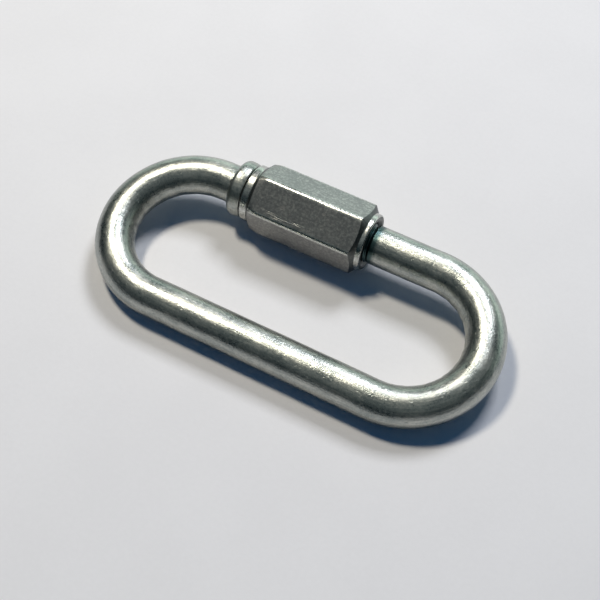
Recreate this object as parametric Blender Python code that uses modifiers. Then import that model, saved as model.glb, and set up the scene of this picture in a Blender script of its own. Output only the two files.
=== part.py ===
"""Oval screw-lock link: a bent round rod whose gate is closed by a long hexagonal sleeve nut.

The link lies flat in XY, long way along X, with the nut on its +Y side. The origin is the centre of
the whole link's box. The nut is modelled closed, against the stop collar. It opens by turning about +X
(right-hand thread) and so travelling towards +X, until the gate gap is clear.
"""

import math

import bmesh
import bpy
from mathutils import Matrix, Vector

MM = 0.001

# The rod and the oval that it is bent to
ROD_D = 4.8
BOW_R = 9.0  # centreline radius of each end
STRAIGHT_L = 28.6  # straight run between the two ends

# The stop collar, upset from the rod
COLLAR_INSET = 1.45  # from the start of the bow to the collar
COLLAR_W = 1.95
COLLAR_RISE = 1.1  # above the rod
COLLAR_FACE_RISE = 0.85  # where the crowned rim meets the face that the nut closes on
COLLAR_CROWN_AT = 0.75  # from its bow side

# The sleeve nut
NUT_WALL = 1.35  # from the plain bore to the flats
NUT_CORNER_R = 0.6  # rounding along the six corners
NECK_WALL = 1.0  # from the plain bore to the round necks
NECK_EDGE = 0.22  # broken edge at each end face
NEAR_NECK_L = 1.0  # neck at the collar end
NEAR_TAPER = math.radians(45)  # from the axis
FAR_NECK_L = 0.6
FAR_TAPER = math.radians(50)
CLOSED_GAP = 0.15  # between the collar and the closed nut
OPEN_GAP = 1.35  # between the opened nut and the bow

# The thread
PITCH = 0.8
THREAD_DEPTH = 0.35
CREST_FLAT = 0.12
FLANK = math.radians(30)
THREAD_PLAY = 0.08  # radial
THREAD_RUN_OUT = 0.15  # groove left past the opened nut's thread
FLANK_PLAY = 0.09  # axial
SHORT_END_L = 1.9  # reach of the collar end into the closed nut
GATE_GAP = 5.6
LONG_END_GRIP = 1.5  # reach of the nut's thread over the long end when closed
TIP_CHAMFER = 0.35

# The nut's plain bore, and the ring that lines it
BORE_PLAY = 0.15
BORE_MOUTH = 0.4  # countersink of the plain bore
THREAD_MOUTH = 0.1  # countersink of the thread, beyond its full depth
RING_WALL = 0.45
RING_PLAY = 0.3
RING_INSET = 1.25  # from the ring to the open end of the nut

# Facets
ROUND = 40
THREAD_ROUND = 20
ROD_RESOLUTION = 8
BOW_STEPS = 20
CORNER_STEPS = 3
CROWN_STEPS = 5
SMOOTH_UP_TO = math.radians(30)
WELD = 0.001
CUT_PAST = 0.3  # how far a cutter runs past what it cuts
FLANK_PAST = 0.06  # how far a thread cutter's flanks go on past the thread

rod_r = ROD_D / 2
root_r = rod_r - THREAD_DEPTH
minor_r = root_r + THREAD_PLAY
bore_r = rod_r + BORE_PLAY
flat_r = bore_r + NUT_WALL  # half the nut's width across flats
neck_r = bore_r + NECK_WALL
flank_run = math.tan(FLANK)

straight_end = STRAIGHT_L / 2
centre_y = (BOW_R + flat_r - (BOW_R + rod_r)) / 2  # middle of the box, above the oval's centre line
axis_y = BOW_R - centre_y

collar_x = -straight_end + COLLAR_INSET
nut_x = collar_x + COLLAR_W + CLOSED_GAP
short_tip_x = nut_x + SHORT_END_L
long_tip_x = short_tip_x + GATE_GAP
nut_travel = SHORT_END_L + GATE_GAP
nut_l = straight_end - OPEN_GAP - nut_travel - nut_x
nut_thread_l = nut_travel + LONG_END_GRIP
ring_from = nut_thread_l + THREAD_DEPTH + RING_PLAY  # from the nut's collar end
ring_l = nut_l - RING_INSET - ring_from


def clear_scene():
    for obj in list(bpy.data.objects):
        bpy.data.objects.remove(obj, do_unlink=True)


def collection(name):
    made = bpy.data.collections.new(name)
    bpy.context.scene.collection.children.link(made)
    return made


def steel(name, colour, roughness):
    made = bpy.data.materials.new(name)
    made.use_nodes = True
    shader = made.node_tree.nodes["Principled BSDF"]
    shader.inputs["Base Color"].default_value = (*colour, 1.0)
    shader.inputs["Metallic"].default_value = 1.0
    shader.inputs["Roughness"].default_value = roughness
    return made


def add(name, data, into):
    obj = bpy.data.objects.new(name, data)
    into.objects.link(obj)
    return obj


def along_x(obj, x):
    """Lays an object that was made round its own Z on the nut's axis, starting at x."""
    obj.rotation_euler = (0, math.pi / 2, 0)
    obj.location = Vector((x, axis_y, 0)) * MM


def as_cutter(obj):
    obj.hide_render = True
    obj.display_type = "WIRE"
    return obj


def finished(obj, look):
    obj.data.materials.clear()
    obj.data.materials.append(look)
    obj.data.shade_smooth()
    obj.data.set_sharp_from_angle(angle=SMOOTH_UP_TO)


def turned(name, profile, into):
    """A solid turned about Z from (radius, height) pairs in mm, listed from the top down the outside."""
    count = len(profile)
    edges = [(i, i + 1) for i in range(count - 1)]
    if profile[0][0] > 0:  # a ring's profile closes on itself, a solid's ends on the axis
        edges.append((count - 1, 0))
    mesh = bpy.data.meshes.new(name)
    mesh.from_pydata([(r * MM, 0, z * MM) for r, z in profile], edges, [])
    obj = add(name, mesh, into)
    screw = obj.modifiers.new("turn", "SCREW")
    screw.steps = screw.render_steps = ROUND
    screw.use_merge_vertices = True
    screw.merge_threshold = WELD * MM
    return obj


def evaluated_mesh(obj):
    """The object's mesh after its modifiers or its bevel, welded, with every face outwards."""
    bpy.context.view_layer.update()
    graph = bpy.context.evaluated_depsgraph_get()
    mesh = bpy.data.meshes.new_from_object(obj.evaluated_get(graph))
    bm = bmesh.new()
    bm.from_mesh(mesh)
    bmesh.ops.remove_doubles(bm, verts=bm.verts, dist=WELD * MM)
    bmesh.ops.holes_fill(bm, edges=[edge for edge in bm.edges if edge.is_boundary])
    bmesh.ops.recalc_face_normals(bm, faces=bm.faces)
    bm.to_mesh(mesh)
    bm.free()
    return mesh


def helical_bar(name, section, start, end, into):
    """A closed bar wound about Z from (radius, height) pairs in mm. It passes height 0 on the X side,
    covers start to end, and stops exactly at end."""
    turns = math.ceil((end - start) / PITCH)
    first = end - turns * PITCH
    angle = 2 * math.pi * first / PITCH
    around = Vector((math.cos(angle), math.sin(angle), 0))
    points = [(around * r + Vector((0, 0, z + first))) * MM for r, z in section]
    count = len(points)
    mesh = bpy.data.meshes.new(name)
    mesh.from_pydata(points, [(i, (i + 1) % count) for i in range(count)], [])
    guide = add(name + "_guide", mesh, into)
    screw = guide.modifiers.new("wind", "SCREW")
    screw.steps = screw.render_steps = THREAD_ROUND
    screw.iterations = turns
    screw.screw_offset = PITCH * MM
    wound = evaluated_mesh(guide)
    bpy.data.objects.remove(guide, do_unlink=True)
    return as_cutter(add(name, wound, into))


def boolean(obj, other, operation):
    change = obj.modifiers.new(f"{operation.lower()} {other.name}", "BOOLEAN")
    change.operation = operation
    change.solver = "EXACT"
    change.object = other


def mirrored(section):
    """The section with its other half, below height 0."""
    return section + [(r, -z) for r, z in reversed(section)]


def rod_path():
    """(x, y, share of the rod's radius) along its centreline, from the short tip round to the long one."""

    def bow(centre_x, start):
        for step in range(BOW_STEPS + 1):
            angle = start + math.pi * step / BOW_STEPS
            yield centre_x + BOW_R * math.cos(angle), BOW_R * math.sin(angle) - centre_y, 1.0

    tip_share = 1 - TIP_CHAMFER / rod_r
    return [
        (short_tip_x, axis_y, tip_share),
        (short_tip_x - TIP_CHAMFER, axis_y, 1.0),
        *bow(-straight_end, math.pi / 2),
        *bow(straight_end, -math.pi / 2),
        (long_tip_x + TIP_CHAMFER, axis_y, 1.0),
        (long_tip_x, axis_y, tip_share),
    ]


def bent_rod(into):
    path = rod_path()
    curve = bpy.data.curves.new("rod", "CURVE")
    curve.dimensions = "3D"
    curve.bevel_depth = rod_r * MM
    curve.bevel_resolution = ROD_RESOLUTION
    curve.use_fill_caps = True
    spline = curve.splines.new("POLY")
    spline.points.add(len(path) - 1)
    for point, (x, y, share) in zip(spline.points, path):
        point.co = (x * MM, y * MM, 0, 1)
        point.radius = share
    guide = add("rod_guide", curve, into)
    mesh = evaluated_mesh(guide)
    placed = guide.matrix_world.copy()
    bpy.data.objects.remove(guide, do_unlink=True)
    rod = add("link_body", mesh, into)
    rod.matrix_world = placed
    return rod


def collar_profile():
    """A bead: a quarter ellipse from the face over to the crown, and another from the crown to the rod."""
    face_r, crown_r = rod_r + COLLAR_FACE_RISE, rod_r + COLLAR_RISE
    face_run = COLLAR_W - COLLAR_CROWN_AT
    profile = [(0, COLLAR_W)]
    for step in range(CROWN_STEPS + 1):
        turn = math.pi / 2 * step / CROWN_STEPS
        r = face_r + (crown_r - face_r) * math.sin(turn)
        profile.append((r, COLLAR_CROWN_AT + face_run * math.cos(turn)))
    for step in range(1, CROWN_STEPS + 1):
        turn = math.pi / 2 * step / CROWN_STEPS
        r = rod_r + (crown_r - rod_r) * math.cos(turn)
        profile.append((r, COLLAR_CROWN_AT * (1 - math.sin(turn))))
    return profile + [(root_r, 0), (0, 0)]


def link_body(into, cutters):
    """The bent rod. One helix cuts the thread on both tips, and the collar is joined on after it."""
    rod = bent_rod(into)
    half_gap = (PITCH - CREST_FLAT) / 2
    half_root = half_gap - THREAD_DEPTH * flank_run
    half_past = half_gap + FLANK_PAST * flank_run
    section = [(rod_r + CUT_PAST, half_past), (rod_r + FLANK_PAST, half_past), (root_r, half_root)]
    section = mirrored(section)
    end = nut_thread_l + nut_travel + THREAD_RUN_OUT
    groove = helical_bar("rod_thread_cutter", section, -PITCH, end, cutters)
    along_x(groove, nut_x)
    boolean(rod, groove, "DIFFERENCE")
    collar = as_cutter(turned("collar_form", collar_profile(), cutters))
    along_x(collar, collar_x)
    boolean(rod, collar, "UNION")
    return rod


def nut_outline():
    """The turned outline that trims the hexagonal bar: two necks, and a taper from each to the corners."""
    past_r = 2 * flat_r / math.sqrt(3) + CUT_PAST
    rise = past_r - neck_r
    return [
        (0, nut_l),
        (neck_r - NECK_EDGE, nut_l),
        (neck_r, nut_l - NECK_EDGE),
        (neck_r, nut_l - FAR_NECK_L),
        (past_r, nut_l - FAR_NECK_L - rise / math.tan(FAR_TAPER)),
        (past_r, NEAR_NECK_L + rise / math.tan(NEAR_TAPER)),
        (neck_r, NEAR_NECK_L),
        (neck_r, NECK_EDGE),
        (neck_r - NECK_EDGE, 0),
        (0, 0),
    ]


def nut_bore():
    """The bore's outline: thread size at the collar end, then plain, with a wide groove for the ring."""
    mouth_r = bore_r + BORE_MOUTH
    groove_r = bore_r + RING_WALL + RING_PLAY
    thread_mouth_r = rod_r + THREAD_PLAY + THREAD_MOUTH
    return [
        (0, nut_l + CUT_PAST),
        (mouth_r + CUT_PAST, nut_l + CUT_PAST),
        (bore_r, nut_l - BORE_MOUTH),
        (bore_r, ring_from + ring_l + RING_PLAY),
        (groove_r, ring_from + ring_l + RING_PLAY),
        (groove_r, ring_from - RING_PLAY),
        (bore_r, ring_from - RING_PLAY),
        (bore_r, nut_thread_l),
        (minor_r, nut_thread_l - (bore_r - minor_r)),
        (minor_r, thread_mouth_r - minor_r),
        (thread_mouth_r + CUT_PAST, -CUT_PAST),
        (0, -CUT_PAST),
    ]


def sleeve_nut(into, cutters):
    """A hexagonal bar trimmed to the turned outline, bored and threaded."""
    bm = bmesh.new()
    corner_r = 2 * flat_r / math.sqrt(3) * MM
    bmesh.ops.create_cone(
        bm,
        cap_ends=True,
        segments=6,
        radius1=corner_r,
        radius2=corner_r,
        depth=(nut_l + 2 * CUT_PAST) * MM,
        matrix=Matrix.Translation((0, 0, nut_l / 2 * MM)) @ Matrix.Rotation(math.pi / 6, 4, "Z"),
    )
    mesh = bpy.data.meshes.new("sleeve_nut")
    bm.to_mesh(mesh)
    bm.free()
    nut = add("sleeve_nut", mesh, into)
    along_x(nut, nut_x)
    corners = nut.modifiers.new("rounded corners", "BEVEL")
    corners.width = NUT_CORNER_R * math.tan(math.pi / 6) * MM
    corners.segments = CORNER_STEPS

    outline = as_cutter(turned("nut_outline", nut_outline(), cutters))
    along_x(outline, nut_x)
    boolean(nut, outline, "INTERSECT")
    bore = as_cutter(turned("nut_bore_cutter", nut_bore(), cutters))
    along_x(bore, nut_x)
    boolean(nut, bore, "DIFFERENCE")

    tip_r = rod_r + THREAD_PLAY
    half_tip = CREST_FLAT / 2 + FLANK_PLAY - THREAD_PLAY * flank_run
    half_past = half_tip + (tip_r - minor_r + FLANK_PAST) * flank_run
    section = [(tip_r, half_tip), (minor_r - FLANK_PAST, half_past), (minor_r - CUT_PAST, half_past)]
    section = mirrored(section)
    # Its groove takes the rod's ridge, which lies half a pitch from the rod's groove.
    section = [(r, z + PITCH / 2) for r, z in section]
    tap = helical_bar("nut_thread_cutter", section, -PITCH, nut_thread_l, cutters)
    along_x(tap, nut_x)
    boolean(nut, tap, "DIFFERENCE")
    return nut


def bore_ring(into):
    """The smooth wall of the nut's plain bore, as a ring that travels with the nut."""
    outer = bore_r + RING_WALL
    profile = [(bore_r, ring_l), (outer, ring_l), (outer, 0), (bore_r, 0)]
    ring = turned("sleeve_bore_ring", profile, into)
    along_x(ring, nut_x + ring_from)
    return ring


def main():
    clear_scene()
    parts = collection("oval_screw_lock_link")
    cutters = collection("cutters")
    cutters.hide_render = True
    rod_steel = steel("zinc_plated_rod", (0.72, 0.74, 0.73), 0.28)
    nut_steel = steel("zinc_plated_nut", (0.60, 0.62, 0.61), 0.36)
    bore_steel = steel("zinc_plated_bore", (0.50, 0.51, 0.51), 0.45)
    finished(link_body(parts, cutters), rod_steel)
    finished(sleeve_nut(parts, cutters), nut_steel)
    finished(bore_ring(parts), bore_steel)


main()
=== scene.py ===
"""Oval screw-lock link of zinc-plated steel, lying on pale paper under two soft lights.

The link lies flat in XY with the sleeve nut on its +Y side. The paper is what is tilted: it touches the
plain side of the oval and the lowest corner of the nut, as a table would under the real link.
"""

import math

import bpy
import numpy as np
from bpy.props import FloatProperty, FloatVectorProperty, PointerProperty
from mathutils import Matrix, Vector


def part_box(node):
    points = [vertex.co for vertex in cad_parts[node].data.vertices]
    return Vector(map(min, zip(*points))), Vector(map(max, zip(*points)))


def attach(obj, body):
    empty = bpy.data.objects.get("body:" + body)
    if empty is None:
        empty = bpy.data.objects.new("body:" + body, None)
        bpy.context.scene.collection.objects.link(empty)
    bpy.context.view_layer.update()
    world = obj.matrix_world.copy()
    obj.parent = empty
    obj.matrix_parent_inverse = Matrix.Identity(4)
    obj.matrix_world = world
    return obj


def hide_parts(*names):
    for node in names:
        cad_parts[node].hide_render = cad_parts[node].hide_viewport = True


bl_info = {
    "name": "Oval screw-lock link",
    "version": (1, 0, 0),
    "blender": (4, 5, 0),
    "location": "3D View > Sidebar > Link",
    "description": "Builds a bent rod link, its sleeve nut, and the paper and lights round it",
    "category": "Add Mesh",
}

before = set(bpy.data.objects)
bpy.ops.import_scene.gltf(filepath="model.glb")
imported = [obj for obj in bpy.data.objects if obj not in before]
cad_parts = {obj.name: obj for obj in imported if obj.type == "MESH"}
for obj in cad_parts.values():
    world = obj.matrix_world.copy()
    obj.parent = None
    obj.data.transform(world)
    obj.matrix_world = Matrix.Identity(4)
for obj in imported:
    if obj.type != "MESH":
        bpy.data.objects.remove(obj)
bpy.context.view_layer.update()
ROD_LOW, ROD_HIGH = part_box("link_body")
NUT_LOW, NUT_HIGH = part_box("sleeve_nut")
RING_LOW, RING_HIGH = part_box("sleeve_bore_ring")

MM = 0.001

ROUND = 96  # points round the rod and round the ring
THREAD_STEP = 0.05 * MM  # between rings along a thread
NUT_STEP = 0.04 * MM  # between rings on the nut's slopes
RUN_OUT = 0.6 * MM  # over which the long end's thread grows to its full depth
FLANK = math.tan(math.radians(30))  # a thread's flank, half of its 60 degrees
SIXTH = np.pi / 3  # from one flat of the hexagon to the next
FLAT_SHARE = 0.436  # of a sixth, from a flat's middle to where its corner's points begin
CORNER_SHARE = 0.0655  # of a sixth, from a corner's middle to the last of its points


def length(name, description, default):
    """A size in metres, given in millimetres."""
    return FloatProperty(
        name=name, description=description, default=default * MM, min=0.0, unit="LENGTH", precision=5
    )


def colour(name, description, default):
    return FloatVectorProperty(
        name=name, description=description, default=default, size=3, subtype="COLOR", min=0.0, max=1.0
    )


def share(name, description, default):
    return FloatProperty(
        name=name, description=description, default=default, min=0.0, max=1.0, subtype="FACTOR"
    )


class LinkSizes(bpy.types.PropertyGroup):
    """Sizes of the rod, the collar, the nut and the thread."""

    rod_d: length("Rod", "Diameter of the rod", 4.8)
    collar_inset: length("Collar inset", "From the start of the bow to the collar", 1.45)
    collar_w: length("Collar width", "Width of the stop collar", 1.95)
    collar_crown: length("Collar crown", "From the collar's bow side to its highest ring", 0.75)
    collar_d: length("Collar", "Diameter of the stop collar", 7.0)
    collar_face_d: length("Collar face", "Diameter of the face that the nut closes on", 6.5)
    nut_af: length("Across flats", "Width of the nut's hexagon", 7.8)
    nut_corner: length("Nut corner", "Rounding along the nut's six corners", 0.6)
    neck_d: length("Neck", "Diameter of the round neck at each end of the nut", 7.1)
    near_neck: length("Near neck", "Length of the neck at the collar end", 1.0)
    near_rise: length("Near rise", "From the near neck up to the flats", 0.45)
    near_fade: length("Near fade", "From the near neck to where the corners are full", 1.8)
    far_neck: length("Far neck", "Length of the neck at the open end", 0.6)
    far_rise: length("Far rise", "From the far neck up to the flats", 0.42)
    neck_edge: length("Neck edge", "Rounding of the necks' outer edges", 0.22)
    pitch: length("Pitch", "Pitch of the thread", 0.8)
    thread_depth: length("Thread depth", "Depth of the rod's thread", 0.35)
    crest: length("Crest", "Flat along the thread's crest", 0.12)
    thread_play: length("Thread play", "Radial play of the nut on the thread", 0.08)
    flank_play: length("Flank play", "Axial play of the nut on the thread", 0.09)
    bore_play: length("Bore play", "Radial play of the nut's plain bore on the rod", 0.15)
    bore_mouth: length("Bore mouth", "Countersink of the plain bore", 0.4)
    thread_mouth: length("Thread mouth", "Countersink of the nut's thread", 0.1)
    short_end: length("Short end", "Reach of the collar end into the closed nut", 1.9)
    gate: length("Gate gap", "Opening between the two threaded ends", 5.6)
    grip: length("Grip", "Reach of the nut's thread over the long end when closed", 1.5)
    tip: length("Tip chamfer", "Chamfer of the rod's two ends", 0.35)
    ring_play: length("Ring play", "Room round the ring in the nut's bore", 0.3)


class LinkFinishes(bpy.types.PropertyGroup):
    """Colours and roughness of the plating, colours of the painted shade in and beside the nut, and the
    colour of the paper.
    """

    zinc_light: colour("Zinc, light", "Plating where it is cleanest", (0.50, 0.505, 0.465))
    zinc_dark: colour("Zinc, dull", "Plating where it has dulled", (0.25, 0.275, 0.265))
    nut_light: colour("Nut, light", "Plating along the nut's worn edges", (0.60, 0.61, 0.57))
    nut_dark: colour("Nut, dull", "Plating on the nut's flats", (0.225, 0.225, 0.225))
    # painted shade: the shade and dark reflection that the nut throws on the thread beside it, and on the
    # threads inside it
    nut_shade: colour("Oiled thread", "Plating where the thread is oiled", (0.015, 0.055, 0.06))
    # painted shade: a near-black colour for the inside of the nut, its end faces and its slopes
    bore: colour("Bore", "Plating inside the nut", (0.06, 0.07, 0.07))
    rod_rough: share("Rod roughness", "Roughness of the rod's plating", 0.315)
    nut_rough: share("Nut roughness", "Roughness of the nut's flats", 0.38)
    paper: colour("Paper", "Colour of the paper", (0.83, 0.83, 0.84))


# ---------------------------------------------------------------- shapes


def smooth(t):
    """0 below 0, 1 above 1, and an S between: 3 t squared less 2 t cubed."""
    t = np.clip(t, 0.0, 1.0)
    return t * t * (3 - 2 * t)


def ripple(*waves):
    """A sum of waves. Each is a height and, for each coordinate, (cycles per unit, phase), and it is the
    height times the sine of every coordinate."""

    def of(*coordinates):
        total = 0.0
        for height, *turns in waves:
            product = height
            for c, (cycles, phase) in zip(coordinates, turns):
                product = product * np.sin(2 * np.pi * (c * cycles + phase))
            total = total + product
        return total

    return of


def joined(stretches):
    """(place along, radius) of every ring, from stretches that give each as an array or as one number."""
    pairs = [np.broadcast_arrays(*pair) for pair in stretches]
    return tuple(np.concatenate([pair[at] for pair in pairs]) for at in (0, 1))


def thread_phase(sizes, x, angle):
    """Distance along the nut's axis from the middle of the rod's groove, which winds right-handed:
    it moves one pitch for each turn, and passes the nut's collar end a quarter turn before +Y."""
    turn = (x - NUT_LOW.x) / sizes.pitch - (angle + math.pi / 2) / (2 * np.pi)
    return sizes.pitch * np.abs(turn - np.round(turn))


def grid_mesh(name, points, closed_rows, outward, attributes):
    """A mesh over a grid of points (rows, columns, 3) that closes round its columns. Its rows close on
    each other too, or end in the poles given by the first and last rows, whose points all coincide."""
    rows, columns = points.shape[:2]
    number = np.arange(rows * columns).reshape(rows, columns)
    if not closed_rows:
        number[0] = 0
        number[1:] = 1 + np.arange((rows - 1) * columns).reshape(rows - 1, columns)
        number[-1] = number[-1, 0]
    following = np.roll(number, -1, axis=0) if closed_rows else number[1:]
    number = number if closed_rows else number[:-1]
    quads = np.stack(
        [number, following, np.roll(following, -1, axis=1), np.roll(number, -1, axis=1)], axis=-1
    ).reshape(-1, 4)
    if not outward:
        quads = quads[:, ::-1]
    faces = quads.tolist()
    if not closed_rows:  # a quad at a pole has one corner twice
        faces = [list(dict.fromkeys(face)) for face in faces]

    def stored(values):
        if values.ndim == 2:
            values = np.broadcast_to(values, (rows, columns))
        flat = values.reshape(rows * columns, -1)
        if closed_rows:
            return flat
        return np.concatenate([flat[:1], flat[columns : (rows - 1) * columns + 1]])

    mesh = bpy.data.meshes.new(name)
    mesh.from_pydata(stored(points).tolist(), [], faces)
    for key, values in attributes.items():
        flat = stored(values)
        kind, slot_name = ("FLOAT", "value") if flat.shape[1] == 1 else ("FLOAT_VECTOR", "vector")
        made = mesh.attributes.new(key, kind, "POINT")
        made.data.foreach_set(slot_name, flat.astype(np.float32).ravel())
    mesh.shade_smooth()
    mesh.update()
    return mesh


def show(name, mesh, material, body, node):
    """Puts a finished mesh in the scene in place of its CAD node, riding on that node's body."""
    piece = bpy.data.objects.new(name, mesh)
    bpy.context.scene.collection.objects.link(piece)
    mesh.materials.append(material)
    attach(piece, body)
    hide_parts(node)
    return piece


def thread_from(sizes, total):
    """Distance along the rod at which the long end's thread runs out, just past the closed nut."""
    return total - (sizes.grip + sizes.short_end + sizes.gate + 0.3 * MM)


def rod_profile(sizes):
    """(distance along the rod, radius, how far threaded) of each ring, and where the collar ends: the short
    tip's flat end and chamfer, the thread up to the collar's face, the collar as two quarter ellipses, the
    plain rod, and the thread up to the long tip."""
    r = sizes.rod_d / 2
    bow_r, half = oval(sizes)[:2]
    short_x = NUT_LOW.x + sizes.short_end
    long_x = short_x + sizes.gate
    total = (short_x + half) + 2 * np.pi * bow_r + 2 * half + (half - long_x)
    collar_end = short_x + half - sizes.collar_inset
    collar_face = collar_end - sizes.collar_w
    crown = collar_end - sizes.collar_crown
    tip_r = r - sizes.tip
    face_r, crown_r = sizes.collar_face_d / 2, sizes.collar_d / 2
    nip = 0.03 * MM  # breaks the edge between the tip's flat end and its chamfer
    end_s = np.array([0.0, 0, 0, 0, nip])
    end_r = np.array([0, 0.45 * tip_r, 0.9 * tip_r, tip_r - nip, tip_r])
    chamfer = np.linspace(0, sizes.tip, 8)[2:]
    turn = np.linspace(0, np.pi / 2, 14)
    thread_at = thread_from(sizes, total)
    stretches = [
        (end_s, end_r),
        (chamfer, tip_r + chamfer),
        (np.arange(sizes.tip + THREAD_STEP, collar_face - 0.02 * MM, THREAD_STEP), r),
        (collar_face, np.linspace(r - sizes.thread_depth, face_r - 0.05 * MM, 8)),
        (crown - (crown - collar_face) * np.cos(turn), face_r + (crown_r - face_r) * np.sin(turn)),
        (crown + (collar_end - crown) * np.sin(turn[1:]), r + (crown_r - r) * np.cos(turn[1:])),
        (collar_end + np.geomspace(0.02, 0.3, 8) * MM, r),
        (np.arange(collar_end + 0.5 * MM, thread_at, 0.25 * MM), r),
        (np.arange(thread_at, total - sizes.tip - 0.02 * MM, THREAD_STEP), r),
        (total - chamfer[::-1], tip_r + chamfer[::-1]),
        (total - end_s[::-1], end_r[::-1]),
    ]
    s, radius = joined(stretches)
    threaded = np.where(s < collar_face - 0.01 * MM, 1.0, smooth((s - thread_at) / RUN_OUT))
    return s, radius, threaded, collar_end


def oval(sizes):
    """(bow radius, half the straight run, height of the bows' centres) that the rod's box leaves."""
    r = sizes.rod_d / 2
    axis_y = (NUT_LOW.y + NUT_HIGH.y) / 2
    bow_r = (axis_y - r - ROD_LOW.y) / 2
    half = ROD_HIGH.x - bow_r - r
    return bow_r, half, axis_y - bow_r


def rod_mesh(sizes):
    """The bent rod. A ring's centre is a point of a circle whose own centre slides along the straight runs
    and stands still in the bows, where the point turns; rings stand square to that line."""
    s, radius, threaded, collar_end = rod_profile(sizes)
    bow_r, half, bow_y = oval(sizes)
    r = sizes.rod_d / 2
    short_x = NUT_LOW.x + sizes.short_end
    first = short_x + half
    arc = np.pi * bow_r
    second, third = first + arc, first + arc + 2 * half
    fourth = third + arc
    turn = np.pi / 2 + (np.clip(s - first, 0, arc) + np.clip(s - third, 0, arc)) / bow_r
    centre_x = short_x - np.minimum(s, first) + np.clip(s - second, 0, 2 * half) - np.maximum(s - fourth, 0)
    out = np.stack([np.cos(turn), np.sin(turn)], axis=-1)
    centre = np.stack([centre_x, np.full_like(s, bow_y)], axis=-1) + bow_r * out
    along, round_ = s[:, None], np.arange(ROUND)[None, :] * 2 * np.pi / ROUND
    groove = ((sizes.pitch - sizes.crest) / 2 - thread_phase(sizes, centre[:, :1], round_)) / FLANK
    depth = np.clip(groove, 0, sizes.thread_depth) * threaded[:, None]
    ring = np.where(threaded[:, None] > 0, np.minimum(radius[:, None], r - depth), radius[:, None])
    # the plain rod is a little uneven: long waves, and shallow hollows on the inside of the bends
    bent = sum(np.exp(-(((along - bend) / (arc / 2) - 1) ** 4)) for bend in (first, third))
    turns = round_ / (2 * np.pi)
    waves = ripple(
        (0.5, (140, 0.1), (1, 0.3)), (0.3, (310, 0.7), (2, 0.1)), (0.2, (620, 0.2), (3, 0.6))
    )(along, turns)
    hollows = ripple((0.6, (420, 0.35), (2, 0.2)), (0.4, (760, 0.9), (3, 0.8)))(along, turns)
    plain = (along > collar_end) * (1 - threaded[:, None])
    inside = smooth((-np.cos(round_) - 0.2) / 0.6) * bent
    ring = ring - plain * (0.012 * MM * (1 + waves) + 0.035 * MM * inside * (1 + hollows))
    # a small burr where the collar was upset, as high as it is wide
    burr, burr_at = 0.16 * MM, 1.95
    ring = ring + burr * np.exp(-(((along - collar_end) / burr) ** 2) - ((round_ - burr_at) / 0.07) ** 2)
    flat = centre[:, None, :] + out[:, None, :] * (ring * np.cos(round_))[..., None]
    points = np.concatenate([flat, (ring * np.sin(round_))[..., None]], axis=-1)
    points[0], points[-1] = points[0].mean(axis=0), points[-1].mean(axis=0)
    straight = np.stack(np.broadcast_arrays(along, r * np.cos(round_), r * np.sin(round_)), axis=-1)
    # painted shade: the threads inside the nut and the rod just past its far end are darkened in colour,
    # where the nut shades and darkly reflects on them
    shade_from = thread_from(sizes, s[-1]) - 0.85 * MM
    shaded_by_nut = np.where(along < collar_end, threaded[:, None], smooth((along - shade_from) / RUN_OUT))
    return grid_mesh("link_rod", points, False, True, {"straightened": straight, "shaded_by_nut": shaded_by_nut})


def hexagon(sizes, angle, corner):
    """Distance from the axis to a hexagon with rounded corners. Within a sixth of a turn it is the apothem
    over the cosine of the angle from the flat's middle, then the arc of the corner's circle."""
    apothem = sizes.nut_af / 2
    half = SIXTH / 2
    off = np.abs((angle + half) % SIXTH - half)
    centre = (apothem - corner) / math.cos(half)
    from_corner = half - off
    sine = np.minimum(centre * np.sin(from_corner), corner)
    arc = centre * np.cos(from_corner) + np.sqrt(corner**2 - sine**2)
    flat_until = np.arctan((apothem - corner) * math.tan(half) / apothem)
    return np.where(off < flat_until, apothem / np.cos(off), arc)


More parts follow.
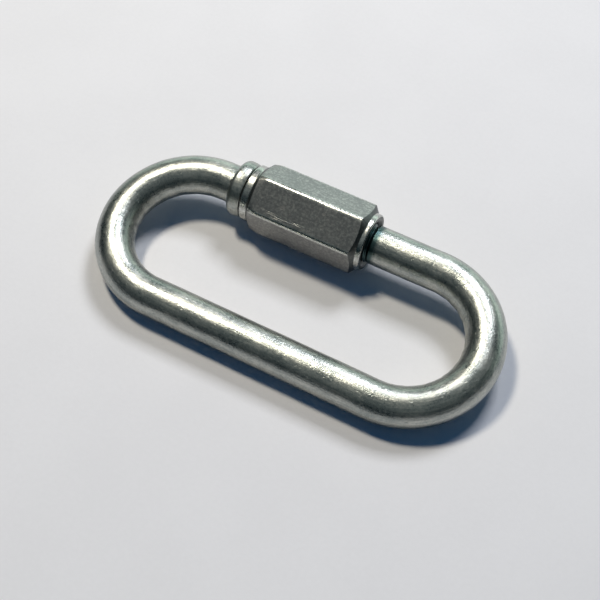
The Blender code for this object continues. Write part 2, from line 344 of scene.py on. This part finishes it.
def nut_rings(sizes):
    """(place from the nut's collar end, radius) of the rings of a closed loop: out along the outside, in
    over the far face, back down the bore and out over the near face. Also how many of them come first, on
    the outside and the far face. The outside's radius is the necks', and the thread's is its crest's."""
    long_ = NUT_HIGH.x - NUT_LOW.x
    r = sizes.rod_d / 2
    neck_r, edge = sizes.neck_d / 2, sizes.neck_edge
    bore_r = r + sizes.bore_play
    minor_r = r - sizes.thread_depth + sizes.thread_play
    mouth_r = bore_r + sizes.bore_mouth
    thread_mouth_r = r + sizes.thread_play + sizes.thread_mouth
    thread_end = sizes.short_end + sizes.gate + sizes.grip
    ring_from = RING_LOW.x - NUT_LOW.x - sizes.ring_play
    ring_to = RING_HIGH.x - NUT_LOW.x + sizes.ring_play
    groove_r = (RING_HIGH.y - RING_LOW.y) / 2 + sizes.ring_play
    far_end = long_ - sizes.far_neck
    near_slope, far_slope = 1.9 * MM, 1.1 * MM  # stretches with rings close together
    quarter = np.linspace(0, np.pi / 2, 6)
    near = np.arange(sizes.near_neck, sizes.near_neck + near_slope, NUT_STEP)
    far = np.arange(far_end, far_end - far_slope, -NUT_STEP)[::-1]
    outer = [
        (edge * (1 - np.cos(quarter)), neck_r - edge * (1 - np.sin(quarter))),
        (np.linspace(edge, sizes.near_neck, 5)[1:-1], neck_r),
        (near, neck_r),
        (np.linspace(near[-1] + NUT_STEP, far[0] - NUT_STEP, 130), neck_r),
        (far, neck_r),
        (np.linspace(far_end, long_ - edge, 4)[1:-1], neck_r),
        (long_ - edge * (1 - np.sin(quarter)), neck_r - edge * (1 - np.cos(quarter))),
        (long_, np.linspace(neck_r - edge, mouth_r, 5)[1:-1]),
    ]
    corners = [
        (long_, mouth_r),
        (long_ - sizes.bore_mouth, bore_r),
        (ring_to, bore_r),
        (ring_to, groove_r),
        (ring_from, groove_r),
        (ring_from, bore_r),
        (thread_end, bore_r),
    ]
    steps = np.linspace(0, 1, 6)[:-1]
    bore = [
        (x0 + (x1 - x0) * steps, r0 + (r1 - r0) * steps)
        for (x0, r0), (x1, r1) in zip(corners, corners[1:])
    ]
    mouth = np.linspace(thread_mouth_r - minor_r, 0, 6)[1:]
    inner = [
        (np.arange(thread_end - (bore_r - minor_r), thread_mouth_r - minor_r, -THREAD_STEP), minor_r),
        (mouth, thread_mouth_r - mouth),
        (0.0, np.linspace(thread_mouth_r, neck_r - edge, 5)[1:-1]),
    ]
    return *joined(outer + bore + inner), sum(np.broadcast(*pair).size for pair in outer)


def nut_angles():
    """Angles of the points round the nut, in order: many over each flat, and more over each corner."""
    flat = np.linspace(-1, 1, 27)[:-1] * FLAT_SHARE
    corner = 0.5 + np.linspace(-1, 1, 11)[:-1] * CORNER_SHARE
    sixth = np.concatenate([flat, corner - (corner > 0.5)])
    angle = ((np.arange(6)[:, None] + sixth[None, :]) * SIXTH).ravel() % (2 * np.pi)
    return np.sort(np.unique(np.round(angle, 9)))


def nut_mesh(sizes):
    """The nut, lofted over its rings. Outside, a ring's radius goes from the round neck's to the hexagon's
    by a share that rises over a short slope at each end, and more slowly along the near end's corners. In
    the thread, a ring is cut outwards by the flanks, as far as it is from the middle of the crest."""
    x, turned, outer_rings = nut_rings(sizes)
    along, turned, round_ = x[:, None], turned[:, None], nut_angles()[None, :]
    long_ = NUT_HIGH.x - NUT_LOW.x
    axis_y = (NUT_LOW.y + NUT_HIGH.y) / 2
    neck_r = sizes.neck_d / 2
    far_end = long_ - sizes.far_neck
    outer_side = (np.arange(len(x)) < outer_rings)[:, None]
    ends = (along <= 0) | (along >= long_)
    outside = outer_side & ~ends

    from_flat = np.abs((round_ + SIXTH / 2) % SIXTH - SIXTH / 2) / (SIXTH / 2)
    side = np.round(round_ / SIXTH - 0.5)
    dents = ripple(
        (0.6, (190, 0.2), (0.31, 0.0)), (0.5, (530, 0.6), (0.77, 0.2)), (0.35, (1330, 0.1), (0.43, 0.4))
    )
    corner = sizes.nut_corner * (1 + 0.14 * smooth(dents(along, side) + 0.4))
    hexed = hexagon(sizes, round_, corner)
    up = np.clip((along - sizes.near_neck) / sizes.near_rise, 0, 1)
    fade = np.sin(np.pi / 2 * np.clip((along - sizes.near_neck) / sizes.near_fade, 0, 1))
    down = np.clip((far_end - along) / (sizes.far_rise + 0.25 * MM * from_flat**2), 0, 1)
    full = up * (1 - 0.5 * from_flat**2 * (1 - fade)) * down
    ring = turned + outside * full * (hexed - neck_r)

    tip_r = sizes.rod_d / 2 + sizes.thread_play
    deepest = sizes.thread_depth  # from the nut's crest to its root, since both are moved out by the play
    phase = sizes.pitch / 2 - thread_phase(sizes, along + NUT_LOW.x, round_)
    half_tip = sizes.crest / 2 + sizes.flank_play - sizes.thread_play * FLANK
    cut = tip_r - np.clip((phase - half_tip) / FLANK, 0, deepest)
    threaded = (turned < tip_r) & (along < sizes.short_end + sizes.gate + sizes.grip)
    ring = np.where(threaded, np.maximum(ring, cut), ring)
    points = np.stack(
        np.broadcast_arrays(NUT_LOW.x + along, axis_y + ring * np.cos(round_), ring * np.sin(round_)), axis=-1
    )

    # scuffs lie on the flat that looks up and inwards, beside its lower corner and towards the collar
    scuffs_at, scuffs_wide = math.radians(150) - 0.16, 0.09
    beside = np.exp(-(((scuffs_at - round_) / scuffs_wide) ** 2))
    scuffed = beside * smooth((along - 1.8 * MM) / (1.5 * MM)) * smooth((10.5 * MM - along) / (3 * MM))
    climbed = np.minimum(up, down)
    # painted shade: a mask over the slopes at both ends of the nut and over its far face, which the material
    # darkens
    slope = np.where(along < long_, outside * smooth(20 * full) * (1 - smooth((climbed - 0.97) / 0.03)), 1.0)
    attributes = {
        "worn": smooth((from_flat - 0.83) / 0.08) * outside * (climbed > 0.99),
        "turned": outer_side * (1 - smooth(20 * climbed)) * (along < long_),
        "slope_shade": outer_side * slope,
        "scuffed": scuffed * outside * (up > 0.99),
        # painted shade: the bore is fully darkened and both end faces nearly so
        "bore_shade": np.where(outer_side | ends, 0.85 * ends, 1.0),
    }
    return grid_mesh("nut_body", points, True, False, attributes)


def ring_mesh(sizes):
    """The smooth wall of the plain bore: a rectangle turned about the nut's axis, its edges broken."""
    axis_y = (RING_LOW.y + RING_HIGH.y) / 2
    outer = (RING_HIGH.y - RING_LOW.y) / 2
    inner = sizes.rod_d / 2 + sizes.bore_play
    cut = 0.04 * MM  # off its edges
    low, high = RING_LOW.x, RING_HIGH.x
    outline = np.array(
        [
            (low + cut, outer),
            (high - cut, outer),
            (high, outer - cut),
            (high, inner + cut),
            (high - cut, inner),
            (low + cut, inner),
            (low, inner + cut),
            (low, outer - cut),
        ]
    )
    angle = np.arange(ROUND)[None, :] * 2 * np.pi / ROUND
    x, r = outline[:, :1], outline[:, 1:]
    points = np.stack(np.broadcast_arrays(x, axis_y + r * np.cos(angle), r * np.sin(angle)), axis=-1)
    mesh = grid_mesh("nut_bore_ring", points, True, False, {})
    mesh.set_sharp_from_angle(angle=math.radians(40))
    return mesh


def rest_tilt(sizes):
    """(tilt, depth) of the flat that touches the plain side and the nut's lowest corner: the tilt at which
    a circle's lowest point and a rounded corner's lowest point are equally deep."""
    r = sizes.rod_d / 2
    bow_r, _, bow_y = oval(sizes)
    across = 2 * bow_r
    corner = (sizes.nut_af / 2 - sizes.nut_corner) / math.cos(math.pi / 6)
    reach = math.hypot(across, corner)
    tilt = math.atan2(corner, across) - math.asin((r - sizes.nut_corner) / reach)
    return tilt, (bow_y - bow_r) * math.sin(tilt) - r


def paper_mesh(sizes):
    """The paper: its height is the running sum of a slope. The slope is the rest tilt under the link, and
    eases beyond it, so that the near edge rolls down out of low views and the far edge lies level."""
    tilt, depth = rest_tilt(sizes)
    half = 900  # mm, with rows close together where the paper curves
    curved = np.arange(-155, 200, 5.0)
    y = np.concatenate([np.linspace(-half, -160, 38), curved, np.linspace(205, half, 40)]) * MM
    near = smooth((-y - 52 * MM) / (70 * MM))
    level = smooth((-y - 190 * MM) / (120 * MM))
    far = smooth((y - 70 * MM) / (120 * MM))
    slope = -math.tan(tilt) * (1 - far) * (1 - near) + 0.14 * near * (1 - level)
    steps = np.diff(y) * (slope[1:] + slope[:-1]) / 2
    z = np.concatenate([[0.0], np.cumsum(steps)])
    z += depth / math.cos(tilt) - np.interp(0.0, y, z)
    x = np.linspace(-half, half, 61) * MM
    points = np.stack(np.broadcast_arrays(x[None, :], y[:, None], z[:, None]), axis=-1)
    rows, columns = points.shape[:2]
    number = np.arange(rows * columns).reshape(rows, columns)
    quads = np.stack([number[:-1, :-1], number[:-1, 1:], number[1:, 1:], number[1:, :-1]], axis=-1)
    mesh = bpy.data.meshes.new("paper")
    mesh.from_pydata(points.reshape(-1, 3).tolist(), [], quads.reshape(-1, 4).tolist())
    mesh.shade_smooth()
    return mesh


# ---------------------------------------------------------------- finishes


class Socket:
    """An output of a shader tree that takes part in Python arithmetic, and from which nodes are added."""

    def __init__(self, tree, socket=None):
        self.tree, self.socket = tree, socket

    def add(self, kind, settings=None, inputs=None, output=0):
        """Adds a node of this type: its settings first, a ramp's stops among them, then its sockets."""
        node = self.tree.nodes.new(kind)
        for name, value in (settings or {}).items():
            if name == "stops":
                ramp = node.color_ramp
                for at, (place, tint) in enumerate(value):
                    stop = ramp.elements[at] if at < 2 else ramp.elements.new(place)
                    stop.position, stop.color = place, (*tint, 1.0) if len(tint) == 3 else tint
            else:
                setattr(node, name, value)
        for name, value in (inputs or {}).items():
            if isinstance(value, Socket):
                self.tree.links.new(value.socket, node.inputs[name])
            else:
                node.inputs[name].default_value = value
        return Socket(self.tree, node.outputs[output])

    def math(self, operation, first, second=None):
        inputs = {0: first} if second is None else {0: first, 1: second}
        return self.add("ShaderNodeMath", {"operation": operation}, inputs)

    def __add__(self, other):
        return self.math("ADD", self, other)

    __radd__ = __add__

    def __mul__(self, other):
        return self.math("MULTIPLY", self, other)

    __rmul__ = __mul__

    def __sub__(self, other):
        return self.math("SUBTRACT", self, other)

    def __rsub__(self, other):
        return self.math("SUBTRACT", other, self)

    def between(self, low, high, to_low=0.0, to_high=1.0):
        """Remaps low..high smoothly to to_low..to_high, and holds beyond."""
        return self.add(
            "ShaderNodeMapRange",
            {"interpolation_type": "SMOOTHSTEP"},
            {"Value": self, "From Min": low, "From Max": high, "To Min": to_low, "To Max": to_high},
        )

    def noise(self, size, detail=2.0, rough=0.5, stretch=(1, 1, 1), place=(0, 0, 0)):
        """Noise on this vector, its grains this many metres across."""
        scale = tuple(k / size for k in stretch)
        where = self.add("ShaderNodeMapping", None, {"Vector": self, "Location": place, "Scale": scale})
        return self.add(
            "ShaderNodeTexNoise", None, {"Vector": where, "Scale": 1.0, "Detail": detail, "Roughness": rough}
        )

    def tint(self, dark, light):
        """A colour from dark to light by this share."""
        return self.add("ShaderNodeMix", {"data_type": "RGBA"}, {"Factor": self, 6: dark, 7: light}, 2)

    def attribute(self, name, output="Fac"):
        return self.add("ShaderNodeAttribute", {"attribute_name": name}, None, output)

    def bump(self, strength, distance, height):
        inputs = {"Strength": strength, "Distance": distance, "Height": height}
        return self.add("ShaderNodeBump", None, inputs)


def new_material(name):
    """(material, its tree as a Socket, its shader node)."""
    made = bpy.data.materials.new(name)
    made.use_nodes = True
    tree = made.node_tree
    return made, Socket(tree), tree.nodes["Principled BSDF"]


def feed(tree, shader, **sockets):
    """Links sockets to the shader's inputs, or sets them where they are plain numbers."""
    for name, value in sockets.items():
        target = shader.inputs[name.replace("_", " ").title().replace("Ior", "IOR")]
        if isinstance(value, Socket):
            tree.tree.links.new(value.socket, target)
        else:
            target.default_value = value


def opaque(tint):
    return (*tint, 1.0)


def rod_material(looks):
    """Zinc over drawn rod: cloudy, with fine pits, sparkle and faint lines along the rod, and painted shade
    of the nut over its threads.
    """
    made, tree, shader = new_material("zinc_plated_rod")
    place = tree.attribute("straightened", "Vector")
    cloud = place.noise(3.2 * MM, 3.0, 0.6)
    grain = place.noise(0.26 * MM, 3.0, 0.7)
    sparkle = place.noise(0.12 * MM, 1.0, 0.5, place=(3, 9, 4))
    pits = place.noise(0.42 * MM, 2.0, 0.5, place=(7, 3, 1)).between(0.62, 0.74)
    lines = place.noise(0.22 * MM, 2.0, 0.6, stretch=(0.06, 1, 1))
    orange = place.noise(1.1 * MM, 2.0, 0.5)
    tone = (cloud * 0.4 + grain * 0.4 + lines * 0.3).between(0.42, 0.70)
    tone = tone * (1 - pits * 0.6)
    base = tone.tint(opaque(looks.zinc_dark), opaque(looks.zinc_light))
    # painted shade of the nut on the thread, mixed into the colour
    shaded_by_nut = tree.attribute("shaded_by_nut") * 0.9
    base = shaded_by_nut.tint(base, opaque(looks.nut_shade))
    rough = looks.rod_rough + (cloud - 0.5) * 0.2 + (grain - 0.5) * 0.24 + pits * 0.12
    height = grain * 0.6 + sparkle * 0.4 + lines * 0.3 + orange * 1.0 - pits * 0.5
    normal = tree.bump(1.0, 0.032 * MM, height)
    feed(tree, shader, base_color=base, roughness=rough, normal=normal, metallic=1.0)
    return made


def nut_material(looks):
    """Zinc over bright hexagon bar: mottled flats with drawn lines, scuffs by one corner, worn corners, and
    turned ends that are bright on the necks, with painted shade on the slopes, on the end faces and in the
    bore."""
    made, tree, shader = new_material("zinc_plated_nut")
    place = tree.add("ShaderNodeTexCoord", None, None, "Object")
    worn, turned, slope_shade, scuffed, bore_shade = (
        tree.attribute(name) for name in ("worn", "turned", "slope_shade", "scuffed", "bore_shade")
    )
    cloud = place.noise(2.6 * MM, 3.0, 0.6)
    grain = place.noise(0.24 * MM, 3.0, 0.7)
    mottle = place.noise(0.34 * MM, 2.0, 0.6, place=(5, 5, 2))
    pits = place.noise(0.5 * MM, 2.0, 0.5, place=(2, 5, 8)).between(0.62, 0.72)
    lines = place.noise(0.16 * MM, 2.0, 0.6, stretch=(0.05, 1, 1))
    scratch = place.noise(0.13 * MM, 1.0, 0.4, stretch=(0.035, 1, 1), place=(4, 1, 6))
    scratch = scratch.between(0.54, 0.62) * scuffed
    rings = place.noise(0.10 * MM, 2.0, 0.6, stretch=(1, 0.02, 0.02))
    tone = (cloud * 0.2 + grain * 0.45 + mottle * 0.5).between(0.42, 0.78)
    tone = tone * 0.6 * (1 - pits * 0.4) + scratch * 0.5
    tone = (tone + worn * 0.6 + turned * 0.5).between(0.0, 1.2)
    base = tone.tint(opaque(looks.nut_dark), opaque(looks.nut_light))
    # painted shade: the slopes, the end faces and the bore are darkened towards the bore colour
    for dull in (slope_shade * 0.75, bore_shade):
        base = dull.tint(base, opaque(looks.bore))
    rough = looks.nut_rough + (cloud - 0.5) * 0.14 + (grain - 0.5) * 0.24 + pits * 0.1
    rough = rough - worn * 0.12 - turned * 0.12 - scratch * 0.1
    flats = grain * 0.5 + mottle * 0.3 + lines * 0.3 - scratch * 1.2 - pits * 0.6
    height = flats * (1 - turned * 0.7) * (1 - worn * 0.6) + rings * turned * 0.5
    normal = tree.bump(0.65, 0.015 * MM, height)
    feed(tree, shader, base_color=base, roughness=rough, normal=normal, metallic=1.0)
    return made


def bore_shade_material(looks):
    """Painted shade inside the nut: the plain bore's lining is coloured near-black plating."""
    made, tree, shader = new_material("zinc_plated_bore")
    place = tree.add("ShaderNodeTexCoord", None, None, "Object")
    cloud = place.noise(1.6 * MM, 3.0, 0.6)
    rings = place.noise(0.12 * MM, 2.0, 0.6, stretch=(1, 0.03, 0.03))
    base = (cloud * 0.6 + rings * 0.4).between(0.35, 0.7)
    dark, light = [c * 0.8 for c in looks.bore], [min(1, c * 1.25) for c in looks.bore]
    base = base.tint(opaque(dark), opaque(light))
    normal = tree.bump(0.5, 0.012 * MM, rings)
    feed(tree, shader, base_color=base, roughness=0.38 + (cloud - 0.5) * 0.2, normal=normal, metallic=1.0)
    return made


def paper_material(looks):
    """Matt paper with a faint tooth, that fades into the backdrop well away from the link."""
    made, tree, shader = new_material("paper")
    place = tree.add("ShaderNodeTexCoord", None, None, "Object")
    tooth = place.noise(0.5 * MM, 3.0, 0.6)
    cloud = place.noise(14 * MM, 3.0, 0.5)
    base = (tooth * 0.4 + cloud * 0.6).between(0.3, 0.7)
    base = base.tint(opaque([c * 0.965 for c in looks.paper]), opaque(looks.paper))
    normal = tree.bump(0.25, 0.03 * MM, tooth)
    reach = tree.add("ShaderNodeVectorMath", {"operation": "LENGTH"}, {0: place}, "Value")
    here = reach.between(110 * MM, 360 * MM, 1.0, 0.0)
    feed(tree, shader, base_color=base, roughness=0.85, specular_ior_level=0.0, normal=normal, alpha=here)
    return made


# ---------------------------------------------------------------- stage


def aimed(azimuth, elevation, roll=0.0):
    """Axes of something that looks at the origin from this azimuth (0 stands on -Y) and elevation."""
    a, e = math.radians(azimuth), math.radians(elevation)
    back = Vector((math.sin(a) * math.cos(e), -math.cos(a) * math.cos(e), math.sin(e)))
    right = Vector((math.cos(a), math.sin(a), 0))
    up = back.cross(right)
    turn = Matrix.Rotation(math.radians(-roll), 3, back)
    return back, Matrix((turn @ right, turn @ up, back)).transposed()


def soft_light(name, azimuth, elevation, distance, size, power, tint):
    """A rectangular soft box that faces the link from this azimuth, elevation and distance in metres."""
    light = bpy.data.lights.new(name, "AREA")
    light.shape = "RECTANGLE"
    light.size, light.size_y = size
    light.energy, light.color = power, tint
    back, axes = aimed(azimuth, elevation)
    made = bpy.data.objects.new(name, light)
    bpy.context.scene.collection.objects.link(made)
    made.matrix_world = Matrix.Translation(back * distance) @ axes.to_4x4()
    return made


def room(low, above, behind, fill, backdrop):
    """Dim room: reflections see one colour low down, one above, and a bright band low behind the link.
    Matt surfaces see an even fill, and beyond the paper lies a pale backdrop."""
    world = bpy.data.worlds.new("room")
    world.use_nodes = True
    bpy.context.scene.world = world
    tree = Socket(world.node_tree)
    way = tree.add("ShaderNodeTexCoord", None, None, "Generated")
    y, z = (way.add("ShaderNodeSeparateXYZ", None, {0: way}, at) for at in (1, 2))
    seen = z.between(0.3, 0.95).tint(opaque(low), opaque(above))
    band = y.between(0.25, 0.9) * z.between(0.12, 0.42, 1.0, 0.0)
    matt, plain = (
        tree.add("ShaderNodeLightPath", None, None, kind) for kind in ("Is Diffuse Ray", "Is Camera Ray")
    )
    for where, tint in ((band, behind), (matt, fill), (plain, backdrop)):
        seen = where.tint(seen, opaque(tint))
    background = world.node_tree.nodes["Background"]
    world.node_tree.links.new(seen.socket, background.inputs["Color"])


# ---------------------------------------------------------------- operators


class LINK_OT_rod(bpy.types.Operator):
    """Build the bent rod with its stop collar and threaded ends"""

    bl_idname = "link.rod"
    bl_label = "Link rod"

    def execute(self, context):
        scene = context.scene
        show(
            "link_rod",
            rod_mesh(scene.link_sizes),
            rod_material(scene.link_finishes),
            "link",
            "link_body",
        )
        return {"FINISHED"}


class LINK_OT_nut(bpy.types.Operator):
    """Build the hexagonal sleeve nut, and the ring that lines its plain bore"""

    bl_idname = "link.nut"
    bl_label = "Sleeve nut"

    def execute(self, context):
        scene = context.scene
        sizes, looks = scene.link_sizes, scene.link_finishes
        show("nut_body", nut_mesh(sizes), nut_material(looks), "nut", "sleeve_nut")
        show(
            "nut_bore_ring",
            ring_mesh(sizes),
            bore_shade_material(looks),
            "nut_travel",
            "sleeve_bore_ring",
        )
        return {"FINISHED"}


class LINK_OT_stage(bpy.types.Operator):
    """Lay the paper under the link, and set the lights and the camera"""

    bl_idname = "link.stage"
    bl_label = "Paper, lights and camera"

    def execute(self, context):
        scene = context.scene
        mesh = paper_mesh(scene.link_sizes)
        mesh.materials.append(paper_material(scene.link_finishes))
        paper = bpy.data.objects.new("paper", mesh)
        scene.collection.objects.link(paper)
        soft_light(
            "warm_box",
            azimuth=237,
            elevation=61.4,
            distance=0.42,
            size=(0.065, 0.065),
            power=0.98,
            tint=(1.0, 0.92, 0.77),
        )
        soft_light(
            "cool_box",
            azimuth=180,
            elevation=45.2,
            distance=0.45,
            size=(0.13, 0.12),
            power=1.08,
            tint=(0.93, 0.95, 1.0),
        )
        room(
            low=(0.002, 0.016, 0.024),
            above=(0.20, 0.23, 0.235),
            behind=(1.15, 1.42, 1.29),
            fill=(0.0, 0.034, 0.094),
            backdrop=(0.77, 0.78, 0.80),
        )
        camera = bpy.data.cameras.new("camera")
        camera.lens, camera.sensor_width = 67.71, 36.0
        camera.clip_start, camera.clip_end = 0.005, 10.0
        back, axes = aimed(azimuth=32.25, elevation=61.61, roll=4.746)
        made = bpy.data.objects.new("camera", camera)
        scene.collection.objects.link(made)
        target, distance = Vector((1.495, -2.332, 0.0)) * MM, 130.513
        made.matrix_world = Matrix.Translation(target + back * distance * MM) @ axes.to_4x4()
        scene.camera = made
        scene.view_settings.view_transform = "Standard"
        return {"FINISHED"}


class LINK_PT_panel(bpy.types.Panel):
    """Sizes, finishes and the steps that build the link"""

    bl_label = "Oval screw-lock link"
    bl_space_type = "VIEW_3D"
    bl_region_type = "UI"
    bl_category = "Link"

    def draw(self, context):
        column = self.layout.column(align=True)
        for group in (context.scene.link_sizes, context.scene.link_finishes):
            for name in group.__annotations__:
                column.prop(group, name)
            column.separator()
        for operator in OPERATORS:
            column.operator(operator.bl_idname)


OPERATORS = (LINK_OT_rod, LINK_OT_nut, LINK_OT_stage)
CLASSES = (LinkSizes, LinkFinishes, *OPERATORS, LINK_PT_panel)


def register():
    for cls in CLASSES:
        bpy.utils.register_class(cls)
    bpy.types.Scene.link_sizes = PointerProperty(type=LinkSizes)
    bpy.types.Scene.link_finishes = PointerProperty(type=LinkFinishes)


def unregister():
    del bpy.types.Scene.link_finishes
    del bpy.types.Scene.link_sizes
    for cls in reversed(CLASSES):
        bpy.utils.unregister_class(cls)


def main():
    register()
    bpy.ops.link.rod()
    bpy.ops.link.nut()
    bpy.ops.link.stage()


if __name__ == "__main__":
    main()
